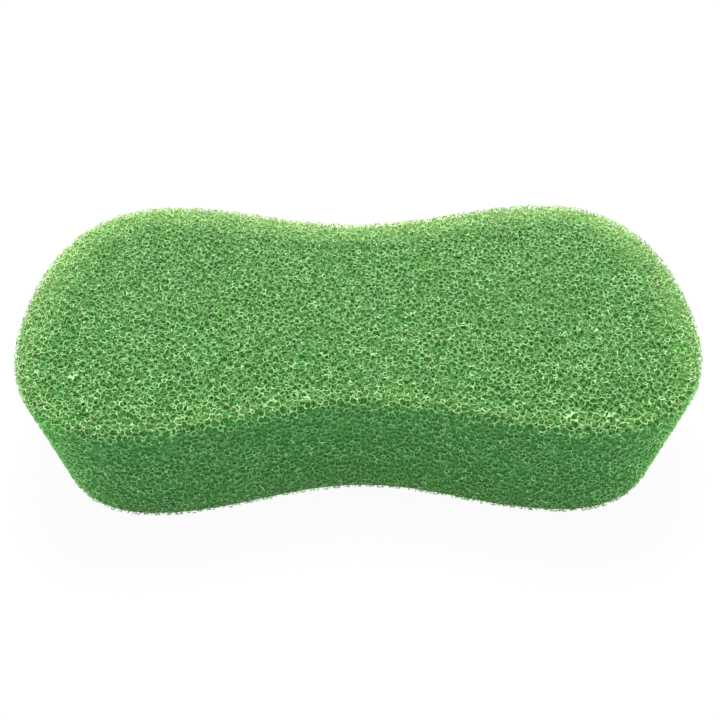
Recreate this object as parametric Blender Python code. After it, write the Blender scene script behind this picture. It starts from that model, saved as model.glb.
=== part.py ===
"""Grooming sponge: one block of open-cell foam, cut to a bone outline with two lobes and a waist.

Metres, +Z up, +X along the sponge. The origin is under the middle of its flat underside.
The skin is a net of cells. Sites are spread evenly over the block and joined into triangles.
Each site then becomes the floor of a pit, and the middle of each triangle a corner of the rims
between pits, so three rims meet at every corner, as the struts of real foam do.
"""

import math
import random

import bpy
import numpy as np
from mathutils import Vector
from mathutils.geometry import delaunay_2d_cdt, intersect_point_line

# Driving dimensions of the block
LENGTH = 0.200
LOBE_WIDTH = 0.110
WAIST_WIDTH = 0.088
LOBE_SPACING = 0.125
HEIGHT = 0.040
END_FULLNESS = 2.35
END_UNDERCUT = 0.0070
SIDE_UNDERCUT = 0.0055
TOP_EDGE_RADIUS = 0.0035
BASE_EDGE_RADIUS = 0.0015

# Driving dimensions of the cells
CELL_PITCH = 0.0053
CELL_DEPTH = 0.0027
DEPTH_SPREAD = 0.3
SITE_SHIFT = 0.26
SEED = 7

# The rows of cells that follow the wall go on over the edge, to this far into the flat top
TOP_BAND = 0.8 * CELL_PITCH
# The top's own sites keep this far from the last of those rows
BAND_CLEARANCE = 0.72 * CELL_PITCH
# Even triangles lie in rows this share of their side apart
ROW_SHARE = math.sqrt(3) / 2

# How finely the smooth curves are read
CURVE_STEPS = 90
NEARBY_TURN = 1e-4
SAME_POINT = 1e-7
SHARP_ANGLE = math.radians(50)

FOAM_COLOUR = (0.155, 0.375, 0.115, 1.0)
FOAM_ROUGHNESS = 0.85


def clear_scene():
    for thing in list(bpy.data.objects):
        bpy.data.objects.remove(thing, do_unlink=True)


def quarter_outline():
    """One quarter of the widest outline, from the middle of a long side to the middle of an end."""
    end, lobe, waist = LENGTH / 2, LOBE_WIDTH / 2, WAIST_WIDTH / 2
    widest = LOBE_SPACING / 2
    points = []
    for step in range(CURVE_STEPS):
        share = step / CURVE_STEPS
        swell = (1 - math.cos(math.pi * share)) / 2
        points.append((share * widest, waist + (lobe - waist) * swell))
    for step in range(CURVE_STEPS + 1):
        angle = math.pi / 2 * (1 - step / CURVE_STEPS)
        across = max(math.cos(angle), 0.0) ** (2 / END_FULLNESS)
        up = max(math.sin(angle), 0.0) ** (2 / END_FULLNESS)
        points.append((widest + (end - widest) * across, lobe * up))
    return points


def whole_outline():
    """The closed outline, counter-clockwise, with its last point back on its first."""
    quarter = np.array(quarter_outline()[::-1])
    half = np.vstack([quarter, quarter[-2::-1] * (-1, 1)])
    return np.vstack([half, half[-2::-1] * (1, -1)])


def run_lengths(points):
    steps = np.linalg.norm(np.diff(points, axis=0), axis=1)
    return np.concatenate([[0.0], np.cumsum(steps)])


def section_profile():
    """The wall's section, from the underside to the top: how far in from the wall, and how high."""
    points = []
    angles = [math.pi / 2 * step / CURVE_STEPS for step in range(CURVE_STEPS + 1)]
    for angle in angles:
        across, up = 1 - math.sin(angle), 1 - math.cos(angle)
        points.append((BASE_EDGE_RADIUS * across, BASE_EDGE_RADIUS * up))
    for angle in angles:
        across, down = 1 - math.cos(angle), 1 - math.sin(angle)
        points.append((TOP_EDGE_RADIUS * across, HEIGHT - TOP_EDGE_RADIUS * down))
    points.append((TOP_EDGE_RADIUS + TOP_BAND, HEIGHT))
    return np.array(points)


class Wall:
    """The smooth wall of the block, read by a share of the way round and a share of the way up."""

    def __init__(self):
        self.outline = whole_outline()
        self.round_lengths = run_lengths(self.outline)
        self.profile = section_profile()
        self.climb_lengths = run_lengths(self.profile)

    def girth(self):
        return self.round_lengths[-1]

    def climb(self):
        return self.climb_lengths[-1]

    def outline_at(self, turn):
        length = (turn % 1.0) * self.girth()
        return np.array([np.interp(length, self.round_lengths, self.outline[:, axis]) for axis in (0, 1)])

    def inward_at(self, turn):
        ahead = self.outline_at(turn + NEARBY_TURN) - self.outline_at(turn - NEARBY_TURN)
        return np.array([-ahead[1], ahead[0]]) / np.linalg.norm(ahead)

    def point(self, turn, rise):
        length = rise * self.climb()
        inset, height = (np.interp(length, self.climb_lengths, self.profile[:, axis]) for axis in (0, 1))
        below_top = 1 - height / HEIGHT
        lean = np.array([END_UNDERCUT / (LENGTH / 2), SIDE_UNDERCUT / (LOBE_WIDTH / 2)])
        across = self.outline_at(turn) * (1 - below_top * lean) + self.inward_at(turn) * inset
        return Vector((across[0], across[1], height))


def wall_sites(wall, chance):
    """Rows of sites round the wall, each row half a step on from the one below it."""
    columns = round(wall.girth() / CELL_PITCH)
    rows = max(round(wall.climb() / (CELL_PITCH * ROW_SHARE)), 2)
    sites = []
    for row in range(rows + 1):
        free = SITE_SHIFT if 0 < row < rows else 0.0
        for column in range(columns):
            turn = (column + row % 2 / 2 + chance.uniform(-free, free)) / columns
            sites.append((turn, (row + chance.uniform(-free, free)) / rows))
    return sites, columns, rows


def wall_triangles(columns, rows):
    """Two triangles for each site of each row, alternating with the half steps."""
    triangles = []
    for row in range(rows):
        for column in range(columns):
            here, after = row * columns + column, row * columns + (column + 1) % columns
            above, above_after = here + columns, after + columns
            if row % 2 == 0:
                triangles += [(here, after, above), (after, above_after, above)]
            else:
                triangles += [(here, above_after, above), (here, after, above_after)]
    return triangles


def inside_loop(point, loop, clearance):
    """Whether the point is inside the loop and at least the clearance away from it."""
    inside = False
    for start, end in zip(loop, loop[1:] + loop[:1]):
        _, share = intersect_point_line(point, start, end)
        if (point - start.lerp(end, min(max(share, 0.0), 1.0))).length < clearance:
            return False
        if (start.y > point.y) != (end.y > point.y):
            crossing = start.x + (point.y - start.y) / (end.y - start.y) * (end.x - start.x)
            inside ^= point.x < crossing
    return inside


def top_sites(loop, chance):
    """A lattice of sites over the flat top, clear of its edge."""
    across = round(LENGTH / CELL_PITCH) + 2
    rows = round(LOBE_WIDTH / (CELL_PITCH * ROW_SHARE)) + 2
    sites = []
    for row in range(-rows // 2, rows // 2 + 1):
        for column in range(-across // 2, across // 2 + 1):
            place = Vector(((column + row % 2 / 2) * CELL_PITCH, row * CELL_PITCH * ROW_SHARE))
            place += Vector((chance.uniform(-1, 1), chance.uniform(-1, 1))) * SITE_SHIFT * CELL_PITCH
            if inside_loop(place, loop, BAND_CLEARANCE):
                sites.append(place)
    return sites


def top_triangles(loop, sites):
    """The flat top joined into triangles: numbers below len(loop) are the wall's last row."""
    edges = [(n, (n + 1) % len(loop)) for n in range(len(loop))]
    _, _, faces, origins, _, _ = delaunay_2d_cdt(loop + sites, edges, [], 1, SAME_POINT)
    return [tuple(origins[corner][0] for corner in face) for face in faces]


def triangle_edges(triangles):
    """Each edge with the triangles on its two sides; a free edge has one."""
    sides = {}
    for number, corners in enumerate(triangles):
        for start, end in zip(corners, corners[1:] + corners[:1]):
            sides.setdefault((min(start, end), max(start, end)), {})[(start, end)] = number
    return sides


def cell_faces(triangles, first_middle):
    """The skin: each edge of the sites' triangles is turned to join the two middles beside it."""
    faces = []
    for (low, high), beside in triangle_edges(triangles).items():
        left, right = beside.get((low, high)), beside.get((high, low))
        if left is None or right is None:
            start, end = next(iter(beside))
            faces.append((start, end, first_middle + beside[(start, end)]))
            continue
        faces.append((low, first_middle + right, first_middle + left))
        faces.append((high, first_middle + left, first_middle + right))
    return faces


def middle_of_wall(wall, corners):
    """The wall's own point at the middle of a triangle of sites."""
    first = corners[0][0]
    turns = [first + (turn - first + 0.5) % 1.0 - 0.5 for turn, _ in corners]
    return wall.point(sum(turns) / 3, sum(rise for _, rise in corners) / 3)


def foam_skin():
    """Points and faces of the whole closed skin, and how many of its first points are free sites."""
    chance = random.Random(SEED)
    wall = Wall()
    ring_sites, columns, rows = wall_sites(wall, chance)
    around = wall_triangles(columns, rows)
    points = [wall.point(turn, rise) for turn, rise in ring_sites]
    loop = [point.to_2d() for point in points[-columns:]]
    flat = top_sites(loop, chance)
    first_of_loop = len(points) - columns
    above = [tuple(first_of_loop + corner for corner in face) for face in top_triangles(loop, flat)]
    points += [Vector((place.x, place.y, HEIGHT)) for place in flat]
    middles = [middle_of_wall(wall, [ring_sites[corner] for corner in face]) for face in around]
    middles += [sum((points[corner] for corner in face), Vector()) / 3 for face in above]
    faces = cell_faces(around + above, len(points))
    underside = tuple(reversed(range(columns)))
    return points + middles, faces + [underside], range(columns, len(points))


def sink_cells(mesh, sites):
    """Push each site in from the smooth skin, so that it becomes the floor of a pit."""
    chance = random.Random(SEED + 1)
    normals = [mesh.vertices[site].normal.copy() for site in sites]
    for site, normal in zip(sites, normals):
        depth = CELL_DEPTH * chance.uniform(1 - DEPTH_SPREAD, 1 + DEPTH_SPREAD)
        mesh.vertices[site].co -= normal * depth


def foam_material():
    material = bpy.data.materials.new("open_cell_polyurethane_foam")
    material.use_nodes = True
    shader = material.node_tree.nodes["Principled BSDF"]
    shader.inputs["Base Color"].default_value = FOAM_COLOUR
    shader.inputs["Roughness"].default_value = FOAM_ROUGHNESS
    shader.inputs["Metallic"].default_value = 0.0
    material.diffuse_color = FOAM_COLOUR
    return material


def make_sponge():
    points, faces, sites = foam_skin()
    mesh = bpy.data.meshes.new("sponge")
    mesh.from_pydata(points, [], faces)
    sink_cells(mesh, sites)
    mesh.materials.append(foam_material())
    mesh.shade_smooth()
    mesh.set_sharp_from_angle(angle=SHARP_ANGLE)
    mesh.validate()
    sponge = bpy.data.objects.new("sponge", mesh)
    bpy.context.scene.collection.objects.link(sponge)


clear_scene()
make_sponge()
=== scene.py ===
# %% [markdown]
# # A green grooming sponge
#
# The real thing is one block of reticulated polyurethane foam. The thin films between its bubbles
# are burnt away, and what stays is a net of struts, with a torn film here and there. A contour saw
# cuts the block to a bone outline that a hand can hold by its waist. A texture on a smooth block
# would show the pattern, but not the holes that light and background pass through at the edges. So
# the net itself is modelled, strut by strut, in the outer millimetres that the eye can reach.

import itertools
import math

import bpy
import numpy as np
from mathutils import Euler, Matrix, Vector, kdtree


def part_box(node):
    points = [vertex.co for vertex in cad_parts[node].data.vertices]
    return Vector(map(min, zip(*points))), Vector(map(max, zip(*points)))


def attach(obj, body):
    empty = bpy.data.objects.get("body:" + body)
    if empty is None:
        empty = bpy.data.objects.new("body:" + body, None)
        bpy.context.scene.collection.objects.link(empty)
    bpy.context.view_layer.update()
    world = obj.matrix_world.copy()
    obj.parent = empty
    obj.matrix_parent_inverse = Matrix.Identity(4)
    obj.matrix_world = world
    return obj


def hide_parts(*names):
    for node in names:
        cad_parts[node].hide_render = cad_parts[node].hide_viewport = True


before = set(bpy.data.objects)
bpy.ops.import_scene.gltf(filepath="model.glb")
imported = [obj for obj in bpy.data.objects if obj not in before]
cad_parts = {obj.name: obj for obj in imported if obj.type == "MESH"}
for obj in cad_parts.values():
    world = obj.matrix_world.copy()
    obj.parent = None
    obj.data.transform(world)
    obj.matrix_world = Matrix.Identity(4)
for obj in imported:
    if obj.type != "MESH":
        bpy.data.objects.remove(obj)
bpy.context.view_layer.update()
low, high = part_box("sponge")
print("the loaded block measures", [round(side * 1000, 1) for side in high - low], "mm")

# %% [markdown]
# ## Sizes of the block
#
# The outline is widest at the top and leans in towards the base. Its long sides swell in a cosine
# wave from the waist to each lobe, and each end is a quarter of a superellipse, mirrored. The saw
# leaves the top edge softer than the base edge.

# %% Sizes of the block
MM = 0.001
LENGTH = 200 * MM
LOBE_WIDTH = 110 * MM
HEIGHT = high.z - low.z
WAIST_WIDTH = 88 * MM
LOBE_SPACING = 125 * MM
END_FULLNESS = 2.35
END_UNDERCUT = 7 * MM
SIDE_UNDERCUT = 5.5 * MM
TOP_EDGE_RADIUS = 3.5 * MM
BASE_EDGE_RADIUS = 1.5 * MM
OUTLINE_STEPS = 48


def quarter_outline():
    """A quarter of the widest outline, from the waist to the middle of an end."""
    share = np.linspace(0, 1, OUTLINE_STEPS)
    swell = (1 - np.cos(np.pi * share)) / 2
    half_width = (WAIST_WIDTH + (LOBE_WIDTH - WAIST_WIDTH) * swell) / 2
    side = np.column_stack([share * LOBE_SPACING / 2, half_width])
    angle = np.pi / 2 * (1 - share[1:])
    across = np.maximum(np.cos(angle), 0) ** (2 / END_FULLNESS)
    up = np.maximum(np.sin(angle), 0) ** (2 / END_FULLNESS)
    along = LOBE_SPACING / 2 + (LENGTH - LOBE_SPACING) / 2 * across
    return np.vstack([side, np.column_stack([along, LOBE_WIDTH / 2 * up])])


outline = quarter_outline()
print("the quarter outline has", len(outline), "points, from", outline[0], "to", outline[-1])

# %% [markdown]
# ## Camera
#
# The photograph looks down on one long side from close by, so the near lobe edges look longer than
# the far ones. The distance, height and lens were fitted to the outline of the sponge.

# %% Camera
CAMERA_DISTANCE = 296 * MM
CAMERA_ELEVATION = math.radians(41.4)
CAMERA_TURN = math.radians(-0.7)
AIM = Vector((0.5, 0, 16)) * MM
LENS = 46.85
CLIP_START = 10 * MM


def place_camera():
    turned = Euler((0, 0, CAMERA_TURN)).to_matrix()
    back = turned @ Vector((0, -math.cos(CAMERA_ELEVATION), math.sin(CAMERA_ELEVATION)))
    bpy.ops.object.camera_add(location=turned @ AIM + back * CAMERA_DISTANCE)
    camera = bpy.context.object
    camera.rotation_euler = (-back).to_track_quat("-Z", "Y").to_euler()
    camera.data.lens = LENS
    camera.data.clip_start = CLIP_START
    bpy.context.scene.camera = camera
    return camera


camera = place_camera()
print("the camera stands at", [round(place * 1000) for place in camera.location], "mm")

# %% [markdown]
# ## Colours and nodes
#
# Colours are given as hex codes in sRGB, as a screen shows them, while a shader adds and multiplies
# linear light. One function turns the first into the second. Another adds a node and links it in
# one
# line, so that a material reads from its pattern to its output. Sockets that share a name go by
# number:
# in a Map Range, 1 and 2 are the limits that are read and 3 and 4 those that are given, and in a
# Mix of colours 6 and 7 are the two colours.


# %% Colours and nodes
def srgb(code):
    """The linear colour of a hex code."""
    parts = [int(code[place:place + 2], 16) / 255 for place in (0, 2, 4)]
    linear = (part / 12.92 if part <= 0.04045 else ((part + 0.055) / 1.055) ** 2.4
              for part in parts)
    return tuple(linear) + (1.0,)


def node(tree, kind, inputs=(), **settings):
    """Adds a node with its settings. An input is a value, or another node's output to link."""
    made = tree.nodes.new(kind)
    for name, value in settings.items():
        setattr(made, name, value)
    for name, value in dict(inputs).items():
        if isinstance(value, bpy.types.NodeSocket):
            tree.links.new(value, made.inputs[name])
        else:
            made.inputs[name].default_value = value
    return made


print("pure green in linear light:", srgb("00ff00"))

# %% [markdown]
# ## White paper under it and round it
#
# The photograph is cut out on pure white. The paper is a plain matt white that catches the shadow,
# and for the camera alone most of its colour is an even white of strength 1. The world does the
# same, so no lamp is turned up to burn the background out.

# %% Floor and surroundings
bpy.context.scene.view_settings.view_transform = "Standard"
WHITE = (1.0, 1.0, 1.0, 1.0)
PAPER_COLOUR = srgb("ececec")
PAPER_WHITENESS = 0.94
WORLD_LIGHT = 0.86
FLOOR_SIZE = 6.0


def seen_directly(tree):
    """1 for what the camera sees directly or in a clear or glossy surface, and 0 for light."""
    path = node(tree, "ShaderNodeLightPath").outputs
    glossy = node(tree, "ShaderNodeMath", {0: path["Is Camera Ray"], 1: path["Is Glossy Ray"]},
                  operation="MAXIMUM").outputs[0]
    return node(tree, "ShaderNodeMath", {0: glossy, 1: path["Is Transmission Ray"]},
                operation="MAXIMUM").outputs[0]


def matt_paper():
    material = bpy.data.materials.new("matt_white_paper")
    material.use_nodes = True
    tree = material.node_tree
    tree.nodes.clear()
    paper = node(tree, "ShaderNodeBsdfDiffuse", {"Color": PAPER_COLOUR}).outputs[0]
    even = node(tree, "ShaderNodeEmission", {"Color": WHITE, "Strength": 1.0}).outputs[0]
    share = node(tree, "ShaderNodeMath", {0: seen_directly(tree), 1: PAPER_WHITENESS},
                 operation="MULTIPLY").outputs[0]
    mixed = node(tree, "ShaderNodeMixShader", {0: share, 1: paper, 2: even}).outputs[0]
    node(tree, "ShaderNodeOutputMaterial", {"Surface": mixed})
    return material


def lay_floor():
    bpy.ops.mesh.primitive_plane_add(size=FLOOR_SIZE)
    floor = bpy.context.object
    floor.name = "floor"
    floor.data.materials.append(matt_paper())


def surround_with_white():
    world = bpy.data.worlds.new("white_studio")
    bpy.context.scene.world = world
    world.use_nodes = True
    tree = world.node_tree
    tree.nodes.clear()
    light = node(tree, "ShaderNodeBackground", {"Color": WHITE, "Strength": WORLD_LIGHT}).outputs[0]
    even = node(tree, "ShaderNodeBackground", {"Color": WHITE, "Strength": 1.0}).outputs[0]
    seen = seen_directly(tree)
    mixed = node(tree, "ShaderNodeMixShader", {0: seen, 1: light, 2: even}).outputs[0]
    node(tree, "ShaderNodeOutputWorld", {"Surface": mixed})


lay_floor()
surround_with_white()
print("white paper is laid, and the world lights at", WORLD_LIGHT)

# %% [markdown]
# ## Light
#
# The top of the sponge is bright and its near side is in a soft shade, so the main light is a
# large softbox above and behind. The world and the paper fill the shade.

# %% Softbox
SOFTBOX_PLACE = Vector((0.0, 0.4, 0.85))
SOFTBOX_SIZE = 0.4
SOFTBOX_POWER = 9.4


def hang_softbox(name, place, size, power):
    bpy.ops.object.light_add(type="AREA", location=place)
    lamp = bpy.context.object
    lamp.name = name
    lamp.rotation_euler = (-place).to_track_quat("-Z", "Y").to_euler()
    lamp.data.size = size
    lamp.data.energy = power
    print("the", name, "softbox hangs", round(place.length, 2), "m away")


hang_softbox("overhead", SOFTBOX_PLACE, SOFTBOX_SIZE, SOFTBOX_POWER)

# %% [markdown]
# ## How deep a point lies in the foam
#
# Everything that follows asks one question of many points at once: how deep is this in the block?
# The answer below zero is outside. Depth from the wall is a distance to the outline, once the lean
# of the wall is undone, and depth from the top and the base is a height. The nearest of the three
# counts, rounded where two faces meet. The modelled layer is thicker along the top edge, because
# the background shows through a few millimetres of foam there.

# %% Depth in the foam
TOP_LAYER = 1.6 * MM
SIDE_LAYER = 1.0 * MM
BASE_LAYER = 0.25 * MM
EDGE_LAYER = 1.8 * MM
DEEP_TOP = HEIGHT - TOP_LAYER


def lean_at(height):
    """How much smaller the outline is at this height, along and across."""
    below_top = 1 - height / HEIGHT
    along = 1 - below_top * END_UNDERCUT / (LENGTH / 2)
    across = 1 - below_top * SIDE_UNDERCUT / (LOBE_WIDTH / 2)
    return along, across


def side_depth(points):
    along, across = lean_at(points[:, 2])
    x, y = np.abs(points[:, 0]) / along, np.abs(points[:, 1]) / across
    nearest = np.full(len(points), np.inf)
    for start, end in zip(outline[:-1], outline[1:]):
        run = end - start
        from_x, from_y = x - start[0], y - start[1]
        share = np.clip((from_x * run[0] + from_y * run[1]) / (run @ run), 0, 1)
        gap = (from_x - share * run[0]) ** 2 + (from_y - share * run[1]) ** 2
        nearest = np.minimum(nearest, gap)
    inside = y < np.interp(x, outline[:, 0], outline[:, 1], right=-1)
    return np.where(inside, 1, -1) * np.sqrt(nearest)


def rounded_corner(first, second, radius):
    """The depth where two faces meet in an edge of this radius."""
    u, v = radius - first, radius - second
    return radius - np.hypot(np.maximum(u, 0), np.maximum(v, 0)) - np.minimum(np.maximum(u, v), 0)


def face_depths(points):
    return side_depth(points), HEIGHT - points[:, 2], points[:, 2]


def depth_in_skin(points):
    side, top, base = face_depths(points)
    at_top_edge = rounded_corner(side, top, TOP_EDGE_RADIUS)
    return np.minimum(at_top_edge, rounded_corner(side, base, BASE_EDGE_RADIUS))


def depth_in_core(points):
    side, top, base = face_depths(points)
    side, top = side - SIDE_LAYER, top - TOP_LAYER
    along_edge = (side + top - EDGE_LAYER) / math.sqrt(2)
    return np.minimum(np.minimum(side, top), np.minimum(along_edge, base - BASE_LAYER))


middle_depth = depth_in_skin(np.array([[0, 0, HEIGHT / 2]]))[0]
print("the middle of the block is", round(middle_depth / MM), "mm deep")

# %% [markdown]
# ## Bubbles
#
# Bubbles in rising foam pack much like balls in a body-centred cubic lattice. A perfect lattice
# would show as rows on the flat top, so it is turned off the block's axes and every bubble is
# pushed aside by chance. Only the bubbles in and next to the modelled layer are kept.

# %% Bubbles
BUBBLE_SPACING = 2.1 * MM
BUBBLE_SHIFT = 0.34
LATTICE_TURN = (0.41, 0.63, 0.27)
SEED = 11
chance = np.random.default_rng(SEED)


def bubble_centres():
    half = math.hypot(LENGTH, LOBE_WIDTH) / 2 + BUBBLE_SPACING
    steps = np.arange(-half, half, BUBBLE_SPACING)
    corners = np.stack(np.meshgrid(steps, steps, steps, indexing="ij"), axis=-1).reshape(-1, 3)
    turn = np.array(Euler(LATTICE_TURN).to_matrix())
    packed = np.vstack([corners, corners + BUBBLE_SPACING / 2]) @ turn.T
    reach = np.array([LENGTH / 2, LOBE_WIDTH / 2, HEIGHT / 2]) + BUBBLE_SPACING
    packed = packed[(np.abs(packed) < reach).all(axis=1)] + (0, 0, HEIGHT / 2)
    packed += chance.uniform(-BUBBLE_SHIFT, BUBBLE_SHIFT, packed.shape) * BUBBLE_SPACING
    near_skin = (depth_in_skin(packed) > -BUBBLE_SPACING) & (depth_in_core(packed) < BUBBLE_SPACING)
    return packed[near_skin]


centres = bubble_centres()
print(len(centres), "bubbles")

# %% [markdown]
# ## Where bubbles meet
#
# Four bubbles touch at each corner of the net. A sphere through their four centres holds no fifth
# centre, and the middle of that sphere is the corner. So each bubble is tried with every three of
# its near neighbours, and the fours whose sphere is empty are kept.

# %% Corners of the net
# How many near bubbles are looked at round each one, and how many of them can touch it
NEIGHBOURS = 36
TOUCHING = 26
WIDEST_SPHERE = 1.05 * BUBBLE_SPACING
FARTHEST_APART = 1.8 * WIDEST_SPHERE
BATCH = 1500
# Four bubbles that span less than this, in cubic metres, lie in one plane
FLAT_FOUR = 1e-13


def nearest_bubbles(centres):
    tree = kdtree.KDTree(len(centres))
    for number, centre in enumerate(centres):
        tree.insert(centre, number)
    tree.balance()
    found = [tree.find_n(centre, NEIGHBOURS + 1)[1:] for centre in centres]
    return np.array([[number for _, number, _ in near] for near in found])


def fours_to_try(own, near, triples):
    """Every bubble of the batch with three later neighbours that lie close to each other too."""
    beside = near[own][:, :TOUCHING]
    gaps = centres[beside][:, :, None, :] - centres[beside][:, None, :, :]
    close = (gaps * gaps).sum(axis=3) < FARTHEST_APART ** 2
    later = beside > own[:, None]
    one, two, three = triples.T
    fits = later[:, one] & later[:, two] & later[:, three]
    fits &= close[:, one, two] & close[:, two, three] & close[:, one, three]
    row, column = np.nonzero(fits)
    return own[row], beside[row[:, None], triples[column]]


def sphere_middles(first, others):
    """The middle of each four's sphere, from the first bubble, and which fours have one."""
    a, b, c = (centres[others[:, place]] - centres[first] for place in range(3))
    b_c, c_a, a_b = np.cross(b, c), np.cross(c, a), np.cross(a, b)
    volume = 2 * (a * b_c).sum(axis=1, keepdims=True)
    squares = [(side * side).sum(axis=1, keepdims=True) for side in (a, b, c)]
    solid = np.abs(volume[:, 0]) > FLAT_FOUR
    middle = (squares[0] * b_c + squares[1] * c_a + squares[2] * a_b)[solid] / volume[solid]
    return middle, solid


def corners_of_net():
    near = nearest_bubbles(centres)
    triples = np.array(list(itertools.combinations(range(TOUCHING), 3)))
    fours, corners = [], []
    for start in range(0, len(centres), BATCH):
        own = np.arange(start, min(start + BATCH, len(centres)))
        first, others = fours_to_try(own, near, triples)
        middle, solid = sphere_middles(first, others)
        first, others = first[solid], others[solid]
        reach = (middle * middle).sum(axis=1)
        left = np.nonzero(reach < WIDEST_SPHERE ** 2)[0]
        for place in range(NEIGHBOURS):
            other = near[first[left], place]
            gap = centres[other] - centres[first[left]] - middle[left]
            own_one = (others[left] == other[:, None]).any(axis=1)
            left = left[own_one | ((gap * gap).sum(axis=1) >= reach[left])]
        fours.append(np.sort(np.column_stack([first, others])[left], axis=1))
        corners.append(centres[first[left]] + middle[left])
    return np.vstack(fours), np.vstack(corners)


fours, corners = corners_of_net()
print(len(corners), "corners, each where four bubbles meet")

# %% [markdown]
# ## Struts
#
# A strut runs where three bubbles meet, from one corner to the next, so two corners that share
# three bubbles are its ends. Four struts leave each corner. While the foam is still soft, its films
# pull every corner towards the middle of its neighbours, which a few rounds of averaging do here.

# %% Struts
RELAXING = 3
RELAX_SHARE = 0.5


def join_corners():
    """The two ends of every strut, as numbers of corners."""
    numbers = np.tile(np.arange(len(fours)), 4)
    threes = np.vstack([np.delete(fours, left_out, axis=1) for left_out in range(4)])
    key = (threes[:, 0] * len(centres) + threes[:, 1]) * len(centres) + threes[:, 2]
    order = np.argsort(key, kind="stable")
    key, numbers = key[order], numbers[order]
    same = key[1:] == key[:-1]
    # Where rounding lets a third corner claim the same three bubbles, the first two keep them
    same[1:] &= ~same[:-1]
    pairs = np.nonzero(same)[0]
    return np.column_stack([numbers[pairs], numbers[pairs + 1]])


def neighbours_by_corner(struts):
    """For each corner the four that it is joined to, with -1 where the net ends."""
    ends, others = np.concatenate([struts, struts[:, ::-1]]).T
    order = np.argsort(ends, kind="stable")
    ends, others = ends[order], others[order]
    table = np.full((len(corners), 4), -1)
    table[ends, np.arange(len(ends)) - np.searchsorted(ends, ends)] = others
    return table


def relax_net(links):
    whole = (links >= 0).all(axis=1)
    for _ in range(RELAXING):
        middles = corners[links[whole]].mean(axis=1)
        corners[whole] += RELAX_SHARE * (middles - corners[whole])


struts = join_corners()
links = neighbours_by_corner(struts)
relax_net(links)
lengths = np.linalg.norm(corners[struts[:, 0]] - corners[struts[:, 1]], axis=1)
print(len(struts), "struts, half of them longer than", round(np.median(lengths) / MM, 2), "mm")

# %% [markdown]
# ## Cut to the outline
#
# The saw keeps what lies inside the skin. A strut that crosses the skin is cut there, which gives
# the top its open cups and the silhouette its fuzz. Below the modelled layer lies the deep foam,
# made later. The kept corners are shared out between parts of the skin, so that no one mesh is
# heavy: three over the top, four round the wall and one for the base.

# %% Cut to the outline
PARTS = ("top_left", "top_waist", "top_right", "base", "front", "rear", "left_end", "right_end")
BASE, FRONT, REAR, LEFT_END, RIGHT_END = range(3, len(PARTS))
WAIST_REACH = LENGTH / 7
WALL_END = 66 * MM

skin_depth = depth_in_skin(corners)
kept = (skin_depth > 0) & (depth_in_core(corners) < 0)


def part_of_skin():
    x, y, z = corners.T
    top = np.digitize(x, [-WAIST_REACH, WAIST_REACH])
    side, end = np.where(y < 0, FRONT, REAR), np.where(x < 0, LEFT_END, RIGHT_END)
    wall = np.where(np.abs(x) < WALL_END, side, end)
    return np.where(z > DEEP_TOP, top, np.where(z < BASE_LAYER, BASE, wall))


part = part_of_skin()
print(kept.sum(), "corners are kept:", np.bincount(part[kept]))

# %% [markdown]
# ## The net as a mesh
#
# A strut of foam is three-sided, hollowed where the three bubbles pressed on it, and it widens into
# the corner. A corner with four struts is a small tetrahedron: each face looks along one strut, and
# a three-sided tube joins it to the face of the next corner. That closes the whole net with six
# triangles a strut and no seams. Whole arrays are worked on at once, because the net has more than
# a hundred thousand struts.

# %% The net as a mesh
STRUT_RADIUS = 0.16 * MM
STRUT_SPREAD = 0.18
# Which three tips of a corner face each of its four struts
FACING = np.array([[1, 2, 3], [0, 3, 2], [0, 1, 3], [0, 2, 1]])
TINY = 1e-12


def unit(vectors):
    return vectors / np.maximum(np.linalg.norm(vectors, axis=-1, keepdims=True), TINY)


def corner_tips(own):
    """Four tips for each corner, each away from one strut, and the tips that face each strut."""
    around = links[own]
    known = (around >= 0)[:, :, None]
    ways = np.where(known, unit(corners[around] - corners[own][:, None, :]), 0)
    ways = np.where(known, ways, -unit(ways.sum(axis=1, keepdims=True)))
    balanced = unit(ways - ways.mean(axis=1, keepdims=True))
    radius = STRUT_RADIUS * chance.uniform(1 - STRUT_SPREAD, 1 + STRUT_SPREAD, (len(own), 1, 1))
    tips = corners[own][:, None, :] - balanced * radius
    rings = np.broadcast_to(FACING, (len(own), 4, 3)).copy()
    rows = np.arange(len(own))[:, None, None]
    a, b, c = np.moveaxis(tips[rows, rings], 2, 0)
    turned = (np.cross(b - a, c - a) * ways).sum(axis=2) < 0
    rings[turned] = rings[turned][:, ::-1]
    return tips.reshape(-1, 3), rows * 4 + rings


def tube(near_ring, far_ring):
    turned = [np.roll(near_ring, -1, axis=1), np.roll(far_ring, -1, axis=1)]
    sides = np.stack([near_ring, turned[0], turned[1], far_ring], axis=-1)
    return sides.reshape(-1, 4)


def least_twisted(points, near_ring, far_ring):
    """The far ring, started at the tip that gives the tube the least twist."""
    turns = np.stack([np.roll(far_ring, turn, axis=1) for turn in range(3)])
    gaps = points[turns] - points[near_ring]
    best = (gaps * gaps).sum(axis=(2, 3)).argmin(axis=0)
    return turns[best, np.arange(len(best))]


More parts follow.
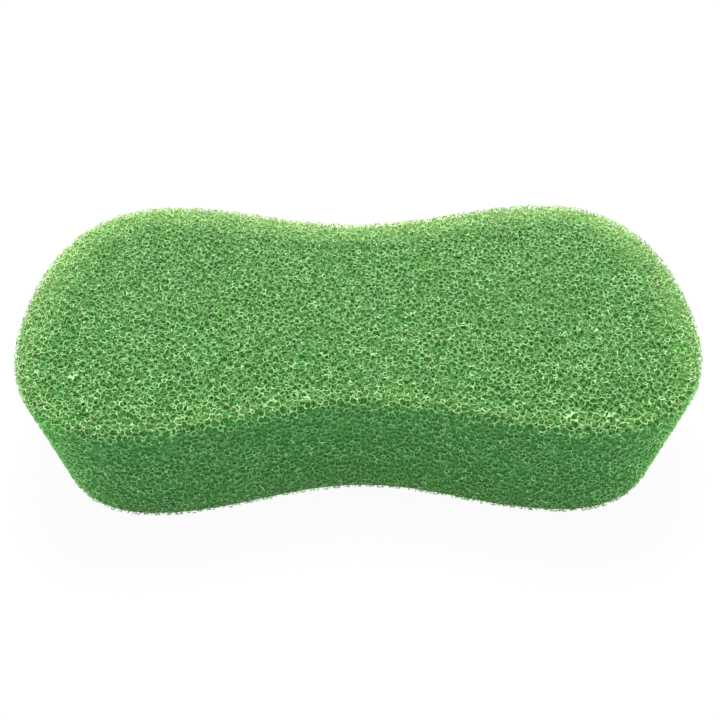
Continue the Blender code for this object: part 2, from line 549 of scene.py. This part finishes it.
def net_arrays(own):
    """Points, tube sides and end caps of the net round these corners."""
    row_of = np.full(len(corners), -1)
    row_of[own] = np.arange(len(own))
    tips, rings = corner_tips(own)
    around = links[own]
    known = around >= 0
    joined = known & (row_of[around] >= 0)
    caps = [rings[~known]]
    row, slot = np.nonzero(joined & (row_of[around] > np.arange(len(own))[:, None]))
    far = row_of[around[row, slot]]
    far_slot = (around[far] == own[row][:, None]).argmax(axis=1)
    near_ring = rings[row, slot]
    far_ring = least_twisted(tips, near_ring, rings[far, far_slot][:, ::-1])
    tubes = [tube(near_ring, far_ring)]
    # A strut to a corner of the next part of the skin ends in that corner
    row, slot = np.nonzero(known & ~joined & kept[around])
    near_ring = rings[row, slot]
    ways = corners[around[row, slot]] - corners[own[row]]
    ends = (tips[near_ring] + ways[:, None, :]).reshape(-1, 3)
    far_ring = len(tips) + np.arange(len(ends)).reshape(-1, 3)
    tubes.append(tube(near_ring, far_ring))
    caps.append(far_ring)
    # A strut that is cut at the skin, or lost in the deep foam, runs to a point
    row, slot = np.nonzero(known & ~kept[around])
    here, there = own[row], around[row, slot]
    to_skin = skin_depth[here] / (skin_depth[here] - skin_depth[there])
    share = np.where(skin_depth[there] < 0, to_skin, 1.0)
    points = corners[here] + (corners[there] - corners[here]) * share[:, None]
    near_ring = rings[row, slot]
    point = len(tips) + len(ends) + np.arange(len(points))
    spikes = [np.column_stack([near_ring[:, side], near_ring[:, (side + 1) % 3], point])
              for side in range(3)]
    return np.vstack([tips, ends, points]), np.vstack(tubes), np.vstack(caps), np.vstack(spikes)


# %% [markdown]
# ## Depth and edge, kept on the points
#
# Light loses strength in dyed foam, so the same green is painted pale at the skin and deep and
# strong further in, as painted shade, and foam near the top edge gets a painted glow for the light
# that also comes through from the wall. Both follow the block, so every point keeps its depth and
# its nearness to the edge for the materials. The painted glow reaches further over the top than
# down the wall, and it is painted weaker from the far side, where the light comes from, to the near
# one. The base edge has a little of it too, painted for the light from the white paper.

# %% Mesh with its depth
DEEP = 2.3 * MM
EDGE_GLOW = 13 * MM
DOWN_THE_WALL = 3
NEAR_SIDE, FAR_SIDE = -40 * MM, 45 * MM
NEAR_GLOW, FAR_GLOW, BASE_GLOW = 0.58, 1.15, 0.5
NO_FACES = np.empty((0, 3), int)
triangle_count = {}


def edge_nearness(points):
    side, top, base = face_depths(points)
    from_top_edge = np.hypot(np.maximum(side, 0), DOWN_THE_WALL * np.maximum(top, 0))
    from_base_edge = np.hypot(np.maximum(side, 0), np.maximum(base, 0))
    # Painted light: the glow is painted stronger on the far side, where the light comes from, than
    # on the near one
    lit_through = np.interp(points[:, 1], [NEAR_SIDE, FAR_SIDE], [NEAR_GLOW, FAR_GLOW])
    top_glow = lit_through * np.exp(-from_top_edge / EDGE_GLOW)
    base_glow = BASE_GLOW * np.exp(-from_base_edge / EDGE_GLOW)
    return np.maximum(top_glow, base_glow)


def keep_depth(mesh, points):
    depth = np.clip(depth_in_skin(points) / DEEP, 0, 1)
    for title, values in (("depth", depth), ("edge", edge_nearness(points))):
        attribute = mesh.attributes.new(title, "FLOAT", "POINT")
        attribute.data.foreach_set("value", values.astype(np.float32))


def foam_object(name, points, quads, flat, spikes=NO_FACES):
    mesh = bpy.data.meshes.new(name)
    mesh.vertices.add(len(points))
    mesh.vertices.foreach_set("co", points.astype(np.float32).ravel())
    triangles = np.vstack([spikes, flat])
    corners_used = np.concatenate([quads.ravel(), triangles.ravel()])
    mesh.loops.add(len(corners_used))
    mesh.loops.foreach_set("vertex_index", corners_used.astype(np.int32))
    quad_starts = 4 * np.arange(len(quads))
    triangle_starts = 4 * len(quads) + 3 * np.arange(len(triangles))
    starts = np.concatenate([quad_starts, triangle_starts])
    mesh.polygons.add(len(starts))
    mesh.polygons.foreach_set("loop_start", starts.astype(np.int32))
    mesh.update(calc_edges=True)
    mesh.polygons.foreach_set("use_smooth", np.arange(len(starts)) < len(quads) + len(spikes))
    keep_depth(mesh, points)
    mesh.validate()
    made = bpy.data.objects.new(name, mesh)
    bpy.context.scene.collection.objects.link(made)
    triangle_count[name] = 2 * len(quads) + len(triangles)
    print(name, "has", triangle_count[name], "triangles")
    return made


nets = [foam_object("net_" + title, *net_arrays(np.nonzero(kept & (part == number))[0]))
        for number, title in enumerate(PARTS)]

# %% [markdown]
# ## Torn films
#
# Burning out the films is never complete. A scrap stays in the angle between two struts, here and
# there all round one corner, and it catches the light as a pale speck. Most scraps are left along
# the top edge, and the sawn wall shows more specks than the top. Where gas was trapped, a whole
# patch of films is left, and they reach from corner to corner. Each scrap is a very flat pyramid
# over its three points.

# %% Torn films
# The share of the angles between struts that keep a scrap
FILM_SHARE = 0.018
RIM_FILM_SHARE = 0.09
RIM_FROM = 0.8
FILM_LIFT = 0.03 * MM
FILM_DEPTH = 1.2 * MM
# The share of the corners that keep a scrap in every angle
SPECK_SHARE, WALL_SPECK_SHARE = 0.018, 0.045
SPECK_DEPTH = 0.7 * MM
# Where each larger patch is and how far it reaches, in millimetres
SEEN_PATCHES = ((-15, -40, 2.4), (-78, -32, 1.8), (55, -50, 1.8), (7, -28, 1.4))
SMALL_PATCHES = 24
SMALL_RADIUS = 0.8, 1.4
SCRAP_REACH = 0.55, 1.0
PAIRS = np.array(list(itertools.combinations(range(4), 2)))
# The faces of a scrap, by its three points and the lifted middle
PYRAMID = (0, 2, 1), (0, 1, 3), (1, 2, 3), (2, 0, 3)


def in_patch(points):
    """Whether each point is in a patch: a few as the photograph has them, the rest by chance."""
    along = chance.uniform(-0.5, 0.5, SMALL_PATCHES) * LENGTH
    across = chance.uniform(-0.5, 0.5, SMALL_PATCHES) * LOBE_WIDTH
    small = np.column_stack([along, across, chance.uniform(*SMALL_RADIUS, SMALL_PATCHES) * MM])
    inside = np.zeros(len(points), bool)
    for x, y, radius in np.vstack([np.array(SEEN_PATCHES) * MM, small]):
        inside |= np.linalg.norm(points - (x, y, HEIGHT), axis=1) < radius
    return inside


def torn_films():
    whole = np.nonzero(kept & (links >= 0).all(axis=1) & (skin_depth < FILM_DEPTH))[0]
    share = np.where(edge_nearness(corners[whole]) > RIM_FROM, RIM_FILM_SHARE, FILM_SHARE)
    filled = chance.random((len(whole), len(PAIRS))) < share[:, None]
    specks = np.where(corners[whole, 2] > DEEP_TOP, SPECK_SHARE, WALL_SPECK_SHARE)
    speck = (chance.random(len(whole)) < specks) & (skin_depth[whole] < SPECK_DEPTH)
    closed = in_patch(corners[whole])
    filled |= (speck | closed)[:, None]
    row, pair = np.nonzero(filled)
    here = whole[row]
    reach = chance.uniform(*SCRAP_REACH, (len(here), 2, 1))
    reach[closed[row]] = 1.0
    ends = links[here[:, None], PAIRS[pair]]
    depth_here, depth_there = skin_depth[here][:, None], skin_depth[ends]
    inside = np.where(depth_there < 0, depth_here / np.maximum(depth_here - depth_there, TINY), 1.0)
    ways = corners[ends] - corners[here][:, None, :]
    far = corners[here][:, None, :] + ways * np.minimum(reach, inside[:, :, None])
    a, b, c = corners[here], far[:, 0], far[:, 1]
    lift = unit(np.cross(b - a, c - a)) * FILM_LIFT
    points = np.stack([a, b, c, (a + b + c) / 3 + lift], axis=1).reshape(-1, 3)
    first = 4 * np.arange(len(here))[:, None]
    faces = np.stack([first + face for face in PYRAMID], axis=1)
    return points, np.empty((0, 4), int), faces.reshape(-1, 3)


films = foam_object("torn_films", *torn_films())

# %% [markdown]
# ## The deep foam
#
# Past the modelled layer the eye only meets a dim green with a hint of more net. A closed body
# stands in for it, set in from every face by the depth of the layer. It starts as a circle that is
# filled and pulled to the outline, and is then extruded ring by ring, up the wall and in over the
# top. The rings on the top carry the glow of the edge, which fades towards the middle.

# %% The deep foam
BASE_BEVEL_IN, BASE_BEVEL_UP = 0.5 * MM, 0.7 * MM
GLOW_DOWN = 9 * MM
GLOW_RINGS = 5 * MM, 12 * MM, 19 * MM
deep_levels = [(BASE_BEVEL_IN, BASE_LAYER), (0.0, BASE_LAYER + BASE_BEVEL_UP),
               (0.0, DEEP_TOP - GLOW_DOWN), (0.0, DEEP_TOP - EDGE_LAYER), (EDGE_LAYER, DEEP_TOP)]
deep_levels += [(EDGE_LAYER + further_in, DEEP_TOP) for further_in in GLOW_RINGS]


def whole_outline():
    half = np.vstack([outline, (outline * (1, -1))[-2::-1]])
    return np.vstack([half, (half * (-1, 1))[-2:0:-1]])[::-1]


def ring_at(inset, height):
    """The outline at a height, set in square to itself."""
    ring = whole_outline()
    ahead = unit(np.roll(ring, -1, axis=0) - np.roll(ring, 1, axis=0))
    leaning = ring * np.column_stack(lean_at(np.full(len(ring), height)))
    flat = leaning - np.column_stack([ahead[:, 1], -ahead[:, 0]]) * inset
    return np.column_stack([flat, np.full(len(flat), height)])


def make_deep_foam():
    count = len(whole_outline())
    bpy.ops.object.select_all(action="DESELECT")
    bpy.ops.mesh.primitive_circle_add(vertices=count, radius=LENGTH / 2, fill_type="NGON")
    deep = bpy.context.object
    deep.name = "deep_foam"
    for number, (inset, height) in enumerate(deep_levels):
        if number:
            bpy.ops.object.mode_set(mode="EDIT")
            bpy.ops.mesh.extrude_region_move()
            bpy.ops.object.mode_set(mode="OBJECT")
        chosen = [vertex for vertex in deep.data.vertices if vertex.select]
        for vertex, place in zip(chosen, ring_at(SIDE_LAYER + inset, height)):
            vertex.co = place
    bpy.ops.object.mode_set(mode="EDIT")
    bpy.ops.mesh.select_all(action="SELECT")
    bpy.ops.mesh.normals_make_consistent(inside=False)
    bpy.ops.object.mode_set(mode="OBJECT")
    keep_depth(deep.data, np.array([vertex.co for vertex in deep.data.vertices]))
    return deep


deep_foam = make_deep_foam()
print("the deep foam has", len(deep_foam.data.vertices), "points")
print("the net and the films have", sum(triangle_count.values()), "triangles")

# %% [markdown]
# ## Where the light reaches
#
# Four things set the light and shade painted into the foam's colour: how deep the point is, how
# near it is to an edge, whether it belongs to the top, which faces the lamp, or to the wall, and
# whether it is on one of the ends, which the light also reaches from behind and passes through, so
# they are painted lighter. The first two are kept on the points, and the others are read from the
# place.

# %% Light in the foam
WALL_BELOW, TOP_ABOVE = HEIGHT - 3.5 * MM, HEIGHT - 1.2 * MM
GLOW_FROM = 0.3
GLOW_GREEN = srgb("d4f2a2")
END_FROM, END_TO = 67 * MM, 93 * MM
# Painted light: the end walls are painted lighter, as if light came through them from behind
END_LIGHT = (1.45, 1.55, 1.08, 1.0)


def share_of_top(tree, place):
    """0 on the wall and 1 at the top face."""
    height = node(tree, "ShaderNodeSeparateXYZ", {0: place}).outputs["Z"]
    return node(tree, "ShaderNodeMapRange", {0: height, 1: WALL_BELOW, 2: TOP_ABOVE}).outputs[0]


def share_of_glow(tree, most):
    """0 away from the top edge and this much on it."""
    edge = node(tree, "ShaderNodeAttribute", attribute_name="edge").outputs["Fac"]
    return node(tree, "ShaderNodeMapRange", {0: edge, 1: GLOW_FROM, 2: 1.0, 4: most}).outputs[0]


def share_of_end(tree, place):
    """0 along the sides and over the top, and 1 on the wall of the two ends."""
    along = node(tree, "ShaderNodeSeparateXYZ", {0: place}).outputs["X"]
    from_middle = node(tree, "ShaderNodeMath", {0: along}, operation="ABSOLUTE").outputs[0]
    on_end = node(tree, "ShaderNodeMapRange", {0: from_middle, 1: END_FROM, 2: END_TO}).outputs[0]
    on_top = share_of_top(tree, place)
    on_wall = node(tree, "ShaderNodeMapRange", {0: on_top, 3: 1.0, 4: 0.0}).outputs[0]
    return node(tree, "ShaderNodeMath", {0: on_end, 1: on_wall}, operation="MULTIPLY").outputs[0]


def light_through(tree, place, green, glow_green, most):
    """The green with light painted in as if it came through it: painted stronger on the ends, and a
    pale painted glow near an edge.
    """
    on_end, glow = share_of_end(tree, place), share_of_glow(tree, most)
    at_end = node(tree, "ShaderNodeMix", {0: on_end, 6: green, 7: END_LIGHT},
                  data_type="RGBA", blend_type="MULTIPLY").outputs[2]
    return node(tree, "ShaderNodeMix", {0: glow, 6: at_end, 7: glow_green},
                data_type="RGBA").outputs[2]


print("the glow ends", round(-EDGE_GLOW * math.log(GLOW_FROM) / MM, 1), "mm from the edge")

# %% [markdown]
# ## Foam of dyed polyurethane
#
# Reticulated polyurethane, dyed green in the mix and slightly waxy to the eye. Its struts shine a
# little, as any smooth plastic does. The colour is painted from pale at the skin to a strong dark
# green with depth, as painted shade, and painted towards yellow at the top edge, as a painted glow.
# The top and the wall each have their own pair of colours, the wall's painted as in soft shade.
# Soft patches a few bubbles across come from uneven dye. Struts differ in thickness, so some are
# paler than the next, and a fine bump breaks up the shine. The true grain of a strut is finer than
# a pixel, so it is drawn as wide as a strut. The torn films are the same plastic, much thinner, and
# so paler and shinier.

# %% Foam material
CLOUD_SIZE = 9 * MM
TICK_SIZE = 1.1 * MM
GRAIN_SIZE = 0.35 * MM
# What each noise runs between, and what that gives
CLOUD_FROM, CLOUD_TO = 0.3, 0.7
CLOUD_DARK, CLOUD_LIGHT = 0.88, 1.12
TICK_FROM, TICK_TO = 0.35, 0.65
TICK_DARK, TICK_LIGHT = 0.8, 1.22
GRAIN_FROM, GRAIN_TO = 0.3, 0.7
GRAIN_STRENGTH, GRAIN_HEIGHT = 0.25, 0.05 * MM
ROUGHNESS_SPREAD = 0.08
FOAM_IOR = 1.5
FOAM_SPECULAR = 0.35
# How fast the painted shade deepens with depth
PAINTED_SHADE_POWER = 0.65
# From skin to deep on the top, and from skin to deep on the wall, the wall pair a copy painted
# darker at the skin as in the wall's soft shade
NET_COLOURS = "addd98", "307f0e", "93d18d", "388c36"
FILM_COLOURS = "ccf4ba", "b0e496", "a8dc9c", "72b866"
NET_ROUGHNESS, FILM_ROUGHNESS = 0.45, 0.3
NET_GLOW, FILM_GLOW = 0.85, 0.6


def green_with_painted_shade(tree, place, colours):
    """Green with painted shade by depth, between two colours on the top and two painted as in shade
    on the wall.
    """
    top_skin, top_deep, wall_skin, wall_deep = (srgb(code) for code in colours)
    depth = node(tree, "ShaderNodeAttribute", attribute_name="depth").outputs["Fac"]
    sunk = node(tree, "ShaderNodeMath", {0: depth, 1: PAINTED_SHADE_POWER}, operation="POWER").outputs[0]
    top, wall = (node(tree, "ShaderNodeMix", {0: sunk, 6: skin, 7: deep},
                      data_type="RGBA").outputs[2]
                 for skin, deep in ((top_skin, top_deep), (wall_skin, wall_deep)))
    on_top = share_of_top(tree, place)
    return node(tree, "ShaderNodeMix", {0: on_top, 6: wall, 7: top}, data_type="RGBA").outputs[2]


def uneven(tree, place):
    """A brightness near 1, cloudy over a few bubbles and different from strut to strut."""
    clouds = node(tree, "ShaderNodeTexNoise",
                  {"Vector": place, "Scale": 1 / CLOUD_SIZE, "Detail": 3.0}).outputs[0]
    ticks = node(tree, "ShaderNodeTexNoise",
                 {"Vector": place, "Scale": 1 / TICK_SIZE, "Detail": 1.0}).outputs[0]
    cloudy = node(tree, "ShaderNodeMapRange",
                  {0: clouds, 1: CLOUD_FROM, 2: CLOUD_TO, 3: CLOUD_DARK, 4: CLOUD_LIGHT}).outputs[0]
    ticked = node(tree, "ShaderNodeMapRange",
                  {0: ticks, 1: TICK_FROM, 2: TICK_TO, 3: TICK_DARK, 4: TICK_LIGHT}).outputs[0]
    return node(tree, "ShaderNodeMath", {0: cloudy, 1: ticked}, operation="MULTIPLY").outputs[0]


def foam_material(name, colours, roughness, glow):
    material = bpy.data.materials.new(name)
    material.use_nodes = True
    tree = material.node_tree
    shader = tree.nodes["Principled BSDF"]
    place = node(tree, "ShaderNodeTexCoord").outputs["Object"]
    lit = light_through(tree, place, green_with_painted_shade(tree, place, colours), GLOW_GREEN, glow)
    dyed = node(tree, "ShaderNodeHueSaturation", {"Value": uneven(tree, place), "Color": lit})
    grain = node(tree, "ShaderNodeTexNoise",
                 {"Vector": place, "Scale": 1 / GRAIN_SIZE, "Detail": 2.0}).outputs[0]
    shine = node(tree, "ShaderNodeMapRange", {0: grain, 1: GRAIN_FROM, 2: GRAIN_TO,
                                              3: roughness - ROUGHNESS_SPREAD,
                                              4: roughness + ROUGHNESS_SPREAD})
    bump = node(tree, "ShaderNodeBump",
                {"Height": grain, "Strength": GRAIN_STRENGTH, "Distance": GRAIN_HEIGHT})
    tree.links.new(dyed.outputs[0], shader.inputs["Base Color"])
    tree.links.new(shine.outputs[0], shader.inputs["Roughness"])
    tree.links.new(bump.outputs[0], shader.inputs["Normal"])
    shader.inputs["IOR"].default_value = FOAM_IOR
    shader.inputs["Specular IOR Level"].default_value = FOAM_SPECULAR
    return material


net_foam = foam_material("reticulated_polyurethane_foam", NET_COLOURS, NET_ROUGHNESS, NET_GLOW)
film_foam = foam_material("torn_polyurethane_film", FILM_COLOURS, FILM_ROUGHNESS, FILM_GLOW)
for net in nets:
    net.data.materials.append(net_foam)
films.data.materials.append(film_foam)
print("the net and the films are dressed")

# %% [markdown]
# ## Deep foam seen through the net
#
# The same foam a few millimetres down. Its struts are drawn as the borders of bubbles of the same
# size as those of the net, lighter on a dark ground, and raised by a bump. Its ground is painted
# darkest under the top, as the shade where the eye looks steeply into the holes, and painted paler
# along the edge, as a glow where light gets in.

# %% Deep foam material
# Two bubbles fill each cube of the lattice
DEEP_BUBBLE = (BUBBLE_SPACING ** 3 / 2) ** (1 / 3)
DEEP_RANDOMNESS = 0.8
# How far a strut reaches at full strength and at all, in widths of a bubble
STRUT_CORE, STRUT_FADE = 0.04, 0.16
DEEP_BUMP, DEEP_BUMP_HEIGHT = 0.8, 0.4 * MM
DEEP_ROUGHNESS, DEEP_SPECULAR = 0.7, 0.1
# On the wall, and on the top, where the ground is painted darker as shade
DEEP_GROUND = "367f34", "225f07"
DEEP_STRUTS = "5ca457", "5aa04c"
DEEP_GLOW_GREEN, DEEP_GLOW = srgb("a8dc84"), 0.8


def deep_foam_material(name):
    material = bpy.data.materials.new(name)
    material.use_nodes = True
    tree = material.node_tree
    shader = tree.nodes["Principled BSDF"]
    place = node(tree, "ShaderNodeTexCoord").outputs["Object"]
    from_border = node(tree, "ShaderNodeTexVoronoi",
                       {"Vector": place, "Scale": 1 / DEEP_BUBBLE, "Randomness": DEEP_RANDOMNESS},
                       feature="DISTANCE_TO_EDGE").outputs["Distance"]
    strut = node(tree, "ShaderNodeMapRange",
                 {0: from_border, 1: STRUT_CORE, 2: STRUT_FADE, 3: 1.0, 4: 0.0}).outputs[0]
    on_top = share_of_top(tree, place)
    ground, line = (node(tree, "ShaderNodeMix", {0: on_top, 6: srgb(wall), 7: srgb(top)},
                         data_type="RGBA").outputs[2]
                    for wall, top in (DEEP_GROUND, DEEP_STRUTS))
    drawn = node(tree, "ShaderNodeMix", {0: strut, 6: ground, 7: line}, data_type="RGBA").outputs[2]
    lit = light_through(tree, place, drawn, DEEP_GLOW_GREEN, DEEP_GLOW)
    bump = node(tree, "ShaderNodeBump",
                {"Height": strut, "Strength": DEEP_BUMP, "Distance": DEEP_BUMP_HEIGHT})
    tree.links.new(lit, shader.inputs["Base Color"])
    tree.links.new(bump.outputs[0], shader.inputs["Normal"])
    shader.inputs["Roughness"].default_value = DEEP_ROUGHNESS
    # The net above it keeps the lamps from its surface, so it has hardly any shine
    shader.inputs["Specular IOR Level"].default_value = DEEP_SPECULAR
    return material


deep_foam.data.materials.append(deep_foam_material("foam_deep_below_the_skin"))
print("bubbles of the deep foam are", round(DEEP_BUBBLE / MM, 2), "mm")

# %% [markdown]
# ## Hand over
#
# The sponge has one body, so every piece rides on the root. The net as a whole takes the place of
# the plain block.

# %% Hand over
for piece in nets + [films, deep_foam]:
    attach(piece, "root")
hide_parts("sponge")
